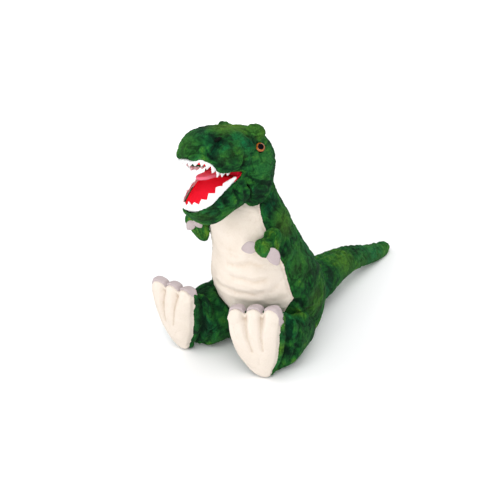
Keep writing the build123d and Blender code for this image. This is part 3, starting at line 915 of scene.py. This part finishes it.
def toothStrip(name):
    # A strip of felt with points along its lower edge, hung from the lip of the stuffed head
    node = frame["nodes"][f"upper_teeth_{name}"]
    along, line = lipLine(node, upperPlace)
    side = sides[name]
    ahead = np.gradient(line, axis=0)
    ahead /= np.linalg.norm(ahead, axis=1)[:, None]
    inward = np.stack([-ahead[:, 1], ahead[:, 0]], 1)
    phase = (along / mouth["pitch"]) % 1
    front, flank = mouth["teeth"][name]
    length = front + (flank - front) * eased(along, *mouth["flankOver"])
    tip = mouth["root"] - length * (1 - np.abs(2 * phase - 1))
    count = len(along)
    top = np.full(count, mouth["intoLip"])
    root = np.full(count, mouth["root"] + mouth["rootEdge"])
    rows = [(0, top), (0, root), (0, tip), (1, tip), (1, root), (1, top)]   # outside down, then inside up
    vertices = []
    for depth, height in rows:
        flat = line + inward * depth * mouth["thickness"]
        vertices.append(np.stack([side * flat[:, 0], flat[:, 1], height], 1))
    faces = []
    for row in range(6):
        here, below = row * count, (row + 1) % 6 * count
        for step in range(count - 1):
            faces.append((here + step, here + step + 1, below + step + 1, below + step))
    faces.append(tuple(row * count for row in range(6)))
    faces.append(tuple(row * count + count - 1 for row in range(6))[::-1])
    if side < 0:
        faces = [face[::-1] for face in faces]
    mesh = bpy.data.meshes.new(f"toothStrip_{name}")
    mesh.from_pydata(outOfPlace(upperPlace, np.concatenate(vertices)).tolist(), [], faces)
    piece = bpy.data.objects.new(f"upperTeeth_{name}", mesh)
    scene.collection.objects.link(piece)
    fuller(piece)
    local = inPlaceOf(upperPlace, pointsOf(piece)).reshape(6, count, 3)
    local[:, :, 2] += lipHeights(local)
    movePoints(piece, outOfPlace(upperPlace, local.reshape(-1, 3)))
    return piece


def makeLinings():
    for node, material, jaw, kept in mouth["linings"]:
        piece = copyOf(node.replace("_", ""), [node])
        resized(piece, jaws[jaw], *kept)
        if jaw == "lower":
            local = inPlaceOf(lowerPlace, pointsOf(piece))
            local[:, 2] += mouth["floorUp"] * eased(-local[:, 2], *mouth["floorUpOver"])
            movePoints(piece, outOfPlace(lowerPlace, local))
        fuller(piece)
        dressed(piece, materials[material], None if jaw == "lower" else "head", [node])
        if jaw == "lower":
            alongJaw(piece)


def makeNostrils():
    piece = copyOf("nostrils", ["nostrils"])
    local = inPlaceOf(upperPlace, pointsOf(piece))
    outward, up = mouth["nostrilMove"]
    local[:, 0] += np.sign(local[:, 0]) * outward
    local[:, 2] += up
    movePoints(piece, outOfPlace(upperPlace, local))
    fuller(piece)
    dressed(piece, materials["thread"], "head", ["nostrils"])


def makeTongue():
    piece = copyOf("tongueFelt", ["tongue"])
    remeshed(piece, mouth["tongueVoxel"], False)
    smoothed(piece, 5)
    fuller(piece)
    dressed(piece, materials["tongue"], "head", ["tongue"])


def lowerTeeth(name):
    piece = copyOf(f"lowerTeeth_{name}", [f"lower_teeth_{name}"])
    resized(piece, lowerPlace, mouth["outward"], mouth["outward"])
    local = inPlaceOf(lowerPlace, pointsOf(piece))
    if name == "right":
        local[:, 2] *= mouth["farLower"]
    local[:, 2] -= mouth["lowerIntoLip"] * (np.abs(local[:, 2]) < 0.5)
    movePoints(piece, outOfPlace(lowerPlace, local))
    fuller(piece)
    remeshed(piece, mouth["lowerVoxel"], False)
    smoothed(piece, 2)
    return piece


def makeMouth():
    makeLinings()
    makeNostrils()
    makeTongue()
    for name in sides:
        dressed(toothStrip(name), materials["tooth"], "head", [f"upper_teeth_{name}"])
        piece = lowerTeeth(name)
        dressed(piece, materials["tooth"], None, [f"lower_teeth_{name}"])
        alongJaw(piece)
    print("mouth made")


# Eyes: an amber dome with a black pupil under a clear coat, set into the cloth
eyeForm = {"tilt": 16, "ahead": 27, "moved": (0, -3.4, -1.8), "sunk": 2.0, "rimDepth": 3.5,
           "radius": 5.2, "dome": 2.9, "back": -2.5, "edge": -0.3, "rings": 12, "steps": 48,
           "pupil": 3.4, "pupilRise": 0.12, "border": 0.35}


def makeEye(name):
    node = frame["nodes"][f"eye_{name}"]
    points = pointsOf(node)
    tilt, ahead = math.radians(eyeForm["tilt"]), math.radians(eyeForm["ahead"])
    level = math.cos(tilt)
    aim = Vector((sides[name] * level * math.cos(ahead), -level * math.sin(ahead), math.sin(tilt)))
    aim = (upperPlace.to_3x3() @ aim).normalized()
    outermost = points @ np.array(aim)
    rim = points[outermost > outermost.max() - eyeForm["rimDepth"] * mm]
    middle = Vector(rim.mean(0)) + upperPlace.to_3x3() @ (Vector(eyeForm["moved"]) * mm)
    middle += aim * (outermost.max() - middle.dot(aim) - eyeForm["sunk"] * mm)
    radius, pupil, dome = eyeForm["radius"], eyeForm["pupil"], eyeForm["dome"]
    ball = (radius**2 + dome**2) / (2 * dome)
    profile = [(radius, eyeForm["back"]), (radius, eyeForm["edge"])]
    for step in range(eyeForm["rings"] + 1):
        out = radius * math.cos(step / eyeForm["rings"] * math.pi / 2)
        height = math.sqrt(ball**2 - out**2) - (ball - dome)
        profile.append((out, max(height, 0.0) + (eyeForm["pupilRise"] if out < pupil else 0.0)))
    shape = bmesh.new()
    place = Matrix.Translation(middle) @ aim.to_track_quat("Z", "Y").to_matrix().to_4x4()

    def point(out, height, angle=0.0):
        across, up = out * mm * math.cos(angle), out * mm * math.sin(angle)
        return shape.verts.new(place @ Vector((across, up, height * mm)))
    steps = eyeForm["steps"]
    rings = []
    for out, height in profile[:-1]:
        rings.append([point(out, height, 2 * math.pi * step / steps) for step in range(steps)])
    top, base = point(0, profile[-1][1]), point(0, profile[0][1])
    for ring, above in zip(rings, rings[1:]):
        for step in range(steps):
            shape.faces.new((ring[step], ring[(step + 1) % steps], above[(step + 1) % steps], above[step]))
    for step in range(steps):
        shape.faces.new((rings[-1][step], rings[-1][(step + 1) % steps], top))
        shape.faces.new((rings[0][(step + 1) % steps], rings[0][step], base))
    mesh = bpy.data.meshes.new(f"eye_{name}_domed")
    shape.to_mesh(mesh)
    shape.free()
    piece = bpy.data.objects.new(f"eyeDome_{name}", mesh)
    scene.collection.objects.link(piece)
    dressed(piece, amberIris, "head", [f"eye_{name}"])
    piece.data.materials.append(blackPupil)
    for face in piece.data.polygons:
        away = Vector(face.center) - middle
        out = (away - aim * away.dot(aim)).length / mm
        face.material_index = 1 if out < pupil or out > radius - eyeForm["border"] else 0
    washer = frame["nodes"][f"eye_washer_{name}"]
    washer.data.materials.clear()
    washer.data.materials.append(materials["washer"])


# Legs, each with its foot; places are across, deep and high from the heel, for the left foot
foot = {
    "heel": {"left": (50, -95, 2), "right": (60, -99, 2)},
    "turn": {"left": 20, "right": 4}, "lean": {"left": -7, "right": 1}, "tilt": {"left": 0, "right": 8},
    "thickness": 21, "puff": 6.5, "puffReach": 9.0,
    # the side that is drawn in, and at each height the width that is left and how far it moves over
    "drawnIn": {"left": 1, "right": -1},
    "narrow": [(0, 0.70, -2), (7, 0.70, -6), (27, 0.745, -8.5), (52, 0.765, -9.5), (74, 0.87, -7.2)],
    "slope": 15, "slopeBack": (3, 22), "slopeHeight": (50, 80),   # how the top falls away, and where
    "wallBack": 12, "wall": (2.4, 5.5, 0.35),   # the groove behind the sole: width, depth and shoulder
    # each spot: place, radius, lime, teal and painted shade; the shaded ones run down the outer side, next
    # to the groove behind the sole
    "spots": [((22, 5, 66), 10, 0.6, 0.2, 0), ((20, 5, 50), 9, 0.2, 0.7, 0), ((18, 5, 34), 9, 0.7, 0.1, 0),
              ((14, 5, 16), 10, 0.3, 0.9, 0), ((25, 15, 60), 8, 0, 0, 1), ((24, 15, 42), 8, 0, 0, 1),
              ((20, 15, 22), 8, 0, 0, 1)],
    "grooves": [[(11, 84), (11.5, 66), (12, 50), (12, 36)], [(-11, 84), (-10, 66), (-8, 50), (-4, 35)]],
    "grooveWidth": 3.0, "grooveDepth": 5.2,
    "soleFront": 1.2, "soleBack": 6.0, "rimDepth": 0.4, "puffFrom": 2.4,
    # the cloth behind the sole: how far it stays clear, how far inside the edge it ends, and where
    "clear": 7.5, "clearOver": (2, 6), "inset": 1.2, "insetOver": (2, 7), "middle": (0, 0, 45),
    "clawRoot": 83, "clawRise": 0.3, "clawDrop": 1.4, "clawSpread": 0.7,
    "outerOver": (14, 27), "outerDown": 12.0, "outerDownOver": (-6, 3), "outerWide": 3.6, "outerAhead": 1.8,
    "cloth": {"crumples": {"size": 12, "depth": 1.8}, "lumps": [(7, 1.0), (3.0, 0.9), (1.6, 0.5)]},
    "seed": {"left": 2.9, "right": 6.1},
    "soleCloth": {"crumples": {"size": 14, "depth": 0.7, "stretch": (1, 1, 1.6), "seed": 4.4, "sharp": 3.0},
                  "lumps": [(2.4, 0.35)]},
    "voxel": 2.2, "soleVoxel": 1.2, "clawVoxel": 0.9, "clawLumps": (2.2, 0.25),
    "hipBend": (20, -25),   # two places at the hip
}


def footPlace(name):
    place = (
        Matrix.Translation(Vector(foot["heel"][name]) * mm)
        @ Matrix.Rotation(math.radians(foot["turn"][name]), 4, "Z")
        @ Matrix.Rotation(math.radians(foot["lean"][name]), 4, "Y")
        @ Matrix.Rotation(math.radians(foot["tilt"][name]), 4, "X")
    )
    return place if name == "left" else Matrix.Scale(-1, 4, (1, 0, 0)) @ place


def footShaped(piece, name, sloped=False):
    # The sole is narrower than the foot behind it, and the top of the foot falls away behind the toes
    place = footPlace(name)
    local = inPlaceOf(place, pointsOf(piece))
    side = foot["drawnIn"][name]
    heights, widths, shifts = zip(*foot["narrow"])
    ahead = 1 - eased(local[:, 1], 0, foot["thickness"])
    width = np.interp(local[:, 2], heights, widths)
    shift = np.interp(local[:, 2], heights, shifts) * side
    local[:, 0] += (local[:, 0] * (width - 1) + shift) * ahead
    if sloped:
        local[:, 2] -= (foot["slope"] * eased(local[:, 1], *foot["slopeBack"])
                        * eased(local[:, 2], *foot["slopeHeight"]))
    movePoints(piece, outOfPlace(place, local))


def nearestTo(rim, points):
    tree = kdtree.KDTree(len(rim))
    for index, point in enumerate(rim):
        tree.insert(point, index)
    tree.balance()
    return np.array([tree.find(point)[2] for point in points]) / mm


def behindSole(piece, place, rim):
    # The cloth of the foot keeps clear of the seams in the sole, and ends just inside its edge
    points = pointsOf(piece)
    local = inPlaceOf(place, points)
    start, end = foot["insetOver"]
    front = local[:, 1] < end
    edge = np.zeros(len(points))
    edge[front] = nearestTo(rim, points[front])
    ahead = 1 - eased(local[:, 1], start, end)
    local[:, 1] += foot["clear"] * eased(edge, *foot["clearOver"]) * ahead
    inward = (np.array(foot["middle"]) - local) * np.array([1, 0, 1])
    inward /= np.maximum(np.linalg.norm(inward, axis=1), 1e-6)[:, None]
    local += inward * (foot["inset"] * ahead)[:, None]
    movePoints(piece, outOfPlace(place, local))


def puffedSole(piece, place, rim):
    # The filling swells the sole between its edge and the two seams that part the toes
    points = pointsOf(piece)
    local = inPlaceOf(place, points)
    edge = nearestTo(rim, points)
    push = foot["puff"] * (1 - np.exp(-edge / foot["puffReach"]))
    flat = local * np.array([1, 0, 1])
    for line in foot["grooves"]:
        away, along = alongLine(flat, [(across, 0, height) for across, height in line])
        share = 1 - along / along.max()
        width = foot["grooveWidth"] * (0.7 + 0.5 * share)
        depth = foot["grooveDepth"] * (0.35 + 0.65 * share)
        push -= depth * np.exp(-((away / width) ** 2)) * np.clip(edge / 2, 0.3, 1)
    front = np.clip((foot["puffFrom"] - local[:, 1]) / 2.0, 0, 1)
    facing = np.array(place.to_3x3() @ Vector((0, -1, 0)))
    movePoints(piece, points + facing * (push * front * mm)[:, None])


def makeSole(name, sole, rim):
    place = footPlace(name)
    local = inPlaceOf(place, pointsOf(sole))
    local[:, 1] = np.where(local[:, 1] > foot["soleFront"], foot["soleBack"], local[:, 1])
    movePoints(sole, outOfPlace(place, local))
    remeshed(sole, foot["soleVoxel"], False)
    puffedSole(sole, place, rim)
    footShaped(sole, name)
    smoothed(sole, 3)
    finer(sole)
    clothed(sole, foot["soleCloth"])
    dyedAndShaded(sole)
    dressed(sole, materials["sole"], f"leg_{name}", [f"sole_{name}"])


def makeToeClaws(name):
    # Each row of claws is lower than its pattern, and the outer one comes down over its corner
    place = footPlace(name)
    claws = copyOf(f"toeClaws_{name}", [f"toe_claws_{name}"])
    remeshed(claws, foot["clawVoxel"], False)
    local = inPlaceOf(place, pointsOf(claws))
    above = local[:, 2] - foot["clawRoot"]
    local[:, 2] = foot["clawRoot"] + above * np.where(above > 0, foot["clawRise"], foot["clawDrop"])
    outer = eased(local[:, 0], *foot["outerOver"])
    local[:, 2] -= foot["outerDown"] * outer * eased(-above, *foot["outerDownOver"])
    local[:, 0] += foot["outerWide"] * outer
    local[:, 1] -= foot["outerAhead"] * outer
    movePoints(claws, outOfPlace(place, local))
    footShaped(claws, name)
    pushed(claws, np.full(len(local), foot["clawSpread"] * mm))
    smoothed(claws, 4)
    lumpy(claws, *foot["clawLumps"])
    dressed(claws, materials["claw"], f"leg_{name}", [f"toe_claws_{name}"])


def makeLeg(name):
    place = footPlace(name)
    nodes = [f"{part}_{name}" for part in ("leg_skin", "leg_stuffing", "foot_skin", "foot_stuffing")]
    piece = copyOf(f"legPlush_{name}", nodes)
    remeshed(piece, foot["voxel"])
    smoothed(piece, 2)
    sole = copyOf(f"soleCloth_{name}", [f"sole_{name}"])
    rim = [point for point in pointsOf(sole) if inPlaceOf(place, point[None])[0, 1] < foot["rimDepth"]]
    behindSole(piece, place, rim)
    footShaped(piece, name, True)
    finer(piece)
    facing = place.to_3x3() @ Vector((0, 1, 0))
    grooved(piece, place @ (Vector((0, foot["wallBack"], 0)) * mm), facing, *foot["wall"])
    clothed(piece, foot["cloth"], seed=foot["seed"][name])
    dyedAndShaded(piece, [(place @ (Vector(spot) * mm), *rest) for spot, *rest in foot["spots"]])
    dressed(piece, materials["green"], None, nodes)
    makeSole(name, sole, rim)
    makeToeClaws(name)
    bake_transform(piece)
    print("leg made", name, len(piece.data.polygons), len(sole.data.polygons))


# Arms; the felt claws are leaves sewn to the hand, each with its middle, where it points and faces
arm = {
    # where the cloth of the hand is drawn over: middle, radius and way
    "hand": {"left": ((38, -102, 150), 12, (4, 2.6, 0.5)), "right": ((-45, -95, 160), 12, (0, 0, 0))},
    "claws": {   # middle, where it points, where it faces, length and width
        "left": [((32.2, -103.5, 158.3), (-0.80, -0.56, -0.20), (0.45, -0.85, 0.28), 17, 13),
                 ((55.8, -93.5, 150.4), (0.50, 0.05, -0.86), (0.60, -0.72, 0.34), 20, 14)],
        "right": [((-49.0, -97.0, 158.5), (-0.40, -0.35, -0.85), (0.51, -0.80, 0.30), 12, 10),
                  ((-42.0, -92.5, 162.0), (0.45, 0.20, -0.87), (0.51, -0.80, 0.30), 13, 10)],
    },
    "clawThickness": 4.2, "clawLumps": (3.0, 0.5), "voxel": 1.6,
    "bend": 8,   # a distance inside the shoulder
    "cloth": {"crumples": {"size": 8, "depth": 1.0, "seed": 8.3},
              "lumps": [(5, 0.7), (3.0, 0.7), (1.6, 0.5)]},
}


def makeLeaf(middle, point, facing, length, width):
    # A padded leaf: round at its root and narrower towards its tip
    bpy.ops.mesh.primitive_uv_sphere_add(segments=32, ring_count=20, radius=1)
    leaf = bpy.context.object
    points = pointsOf(leaf)
    taper = 1 - 0.22 * np.clip(points[:, 1], -0.2, 1) - 0.18 * np.clip(points[:, 1], 0, 1) ** 3
    points[:, 0] *= width / 2 * taper
    points[:, 2] = np.sign(points[:, 2]) * np.abs(points[:, 2]) ** 0.7 * arm["clawThickness"] / 2
    points[:, 1] *= length / 2
    along = Vector(point).normalized()
    outward = (Vector(facing) - along * Vector(facing).dot(along)).normalized()
    turn = np.array([along.cross(outward), along, outward])
    movePoints(leaf, (points @ turn + np.array(middle)) * mm)
    return leaf


def makeArm(name):
    nodes = [f"arm_skin_{name}", f"arm_stuffing_{name}"]
    piece = copyOf(f"armPlush_{name}", nodes)
    remeshed(piece, arm["voxel"])
    smoothed(piece, 2)
    pulled(piece, Matrix.Identity(4), *arm["hand"][name])
    finer(piece)
    clothed(piece, arm["cloth"])
    dyedAndShaded(piece)
    dressed(piece, materials["lime"], None, nodes)
    leaves = [makeLeaf(*claw) for claw in arm["claws"][name]]
    only(*leaves)
    bpy.ops.object.join()
    claws = bpy.context.view_layer.objects.active
    claws.name = claws.data.name = f"armClaws_{name}"
    lumpy(claws, *arm["clawLumps"])
    dressed(claws, materials["claw"], f"arm_{name}", [f"arm_claws_{name}"])
    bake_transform(piece)
    print("arm made", name, len(piece.data.polygons))


# Tail
tail = {
    "voxel": 2.4, "longer": 3, "longerFrom": (170, 250), "lower": 4.5, "lowerFrom": (150, 250),
    "seamPlaces": (60, 248, 12), "seam": (2.2, 1.5, 12, 0.9), "bend": 30,
    "cloth": {"crumples": {"size": 11, "depth": 1.5, "stretch": (1, 1.4, 1), "seed": 9.4},
              "lumps": [(7, 1.0), (3.0, 0.9), (1.6, 0.5)]},
    # each spot: place, radius, lime, teal and painted shade; the shaded one lies at the root of the tail,
    # against the body
    "spots": [((11, 205, 24), 26, 0.5, 1.0, 0), ((12, 120, 46), 22, 0.5, 0, 0),
              ((18, 68, 45), 24, 0, 0, 0.5), ((8, 238, 10), 10, 0.2, 0.2, 0),
              ((14, 160, 20), 16, 0.4, 0, 0)],
}


def makeTail():
    nodes = ["tail_skin_left", "tail_skin_right", "tail_stuffing"]
    piece = copyOf("tailPlush", nodes)
    remeshed(piece, tail["voxel"])
    smoothed(piece, 2)
    bpy.context.view_layer.update()
    points = pointsOf(piece)
    points[:, 1] += eased(points[:, 1] / mm, *tail["longerFrom"]) * tail["longer"] * mm
    points[:, 2] -= eased(points[:, 1] / mm, *tail["lowerFrom"]) * tail["lower"] * mm
    movePoints(piece, points)
    bpy.context.view_layer.update()
    ridge = onLine(piece, [(0, back * mm, 1) for back in range(*tail["seamPlaces"])], (0, 0, -1))
    finer(piece)
    sewn(piece, ridge, *tail["seam"])
    clothed(piece, tail["cloth"])
    dyedAndShaded(piece, [(Vector(place) * mm, *rest) for place, *rest in tail["spots"]])
    dressed(piece, materials["green"], None, nodes)
    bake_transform(piece)
    print("tail made", len(piece.data.polygons))


# Setting
view = {"azimuth": 35, "elevation": 27, "distance": 1.6, "lens": 100, "aim": (-0.0504, 0.0156, 0.0817),
        "lampAim": (0, 0, 0.12), "whiteFrom": 0.35, "whiteBy": 1.3,   # past the shadow the floor turns white
        "floorColor": (0.97, 0.97, 0.97), "airColor": (0.62, 0.62, 0.63)}
lamps = {   # place, size, power
    "key": ((0.5, -1.5, 2.1), 1.9, 30),
    "left": ((-1.5, -0.9, 0.9), 1.5, 11),
    "low": ((0.7, -1.7, 0.25), 1.2, 15),
    "rim": ((0.2, 1.4, 1.8), 1.4, 12),
}


def makeSetting():
    azimuth, elevation = math.radians(view["azimuth"]), math.radians(view["elevation"])
    back = Vector((math.sin(azimuth) * math.cos(elevation), -math.cos(azimuth) * math.cos(elevation),
                   math.sin(elevation)))
    lens = bpy.data.cameras.new("camera")
    lens.lens = view["lens"]
    lens.sensor_width = 36
    camera = bpy.data.objects.new("camera", lens)
    scene.collection.objects.link(camera)
    camera.location = Vector(view["aim"]) + back * view["distance"]
    camera.rotation_euler = back.to_track_quat("Z", "Y").to_euler()
    scene.camera = camera

    bpy.ops.mesh.primitive_plane_add(size=8, location=(0, 0, 0))
    floor = bpy.context.object
    floor.name = "floor"
    material, tree, shader = newMaterial("paleFloor", **{"Roughness": 0.9, "Specular IOR Level": 0.0})
    shader.inputs["Base Color"].default_value = (*view["floorColor"], 1)
    shader.inputs["Emission Color"].default_value = (1, 1, 1, 1)
    # Past the shadow the floor is as white as the air behind it
    away = add(tree, "ShaderNodeVectorMath", operation="LENGTH")
    tree.links.new(add(tree, "ShaderNodeTexCoord").outputs["Object"], away.inputs[0])
    fade = add(tree, "ShaderNodeMapRange", {"From Min": view["whiteFrom"], "From Max": view["whiteBy"]},
               interpolation_type="SMOOTHSTEP")
    tree.links.new(away.outputs["Value"], fade.inputs["Value"])
    glow = times(tree, add(tree, "ShaderNodeLightPath").outputs["Is Camera Ray"], fade.outputs["Result"])
    tree.links.new(glow, shader.inputs["Emission Strength"])
    floor.data.materials.append(material)

    for name, (place, size, power) in lamps.items():
        lamp = bpy.data.lights.new(name, "AREA")
        lamp.size = size
        lamp.energy = power
        lampObject = bpy.data.objects.new(name, lamp)
        scene.collection.objects.link(lampObject)
        lampObject.location = place
        aim = Vector(place) - Vector(view["lampAim"])
        lampObject.rotation_euler = aim.to_track_quat("Z", "Y").to_euler()

    world = bpy.data.worlds.new("studio")
    scene.world = world
    world.use_nodes = True
    tree = world.node_tree
    paths = add(tree, "ShaderNodeLightPath")
    seen = plus(tree, paths.outputs["Is Camera Ray"], paths.outputs["Is Glossy Ray"])
    seen = plus(tree, seen, paths.outputs["Is Transmission Ray"], True)
    background = tree.nodes["Background"]
    tree.links.new(mixed(tree, seen, view["airColor"], (1.0, 1.0, 1.0)), background.inputs[0])
    scene.view_settings.view_transform = "Standard"


makeBody()
makeHead()
makeMouth()
for name in sides:
    makeEye(name)
    makeLeg(name)
    makeArm(name)
makeTail()
makeSetting()
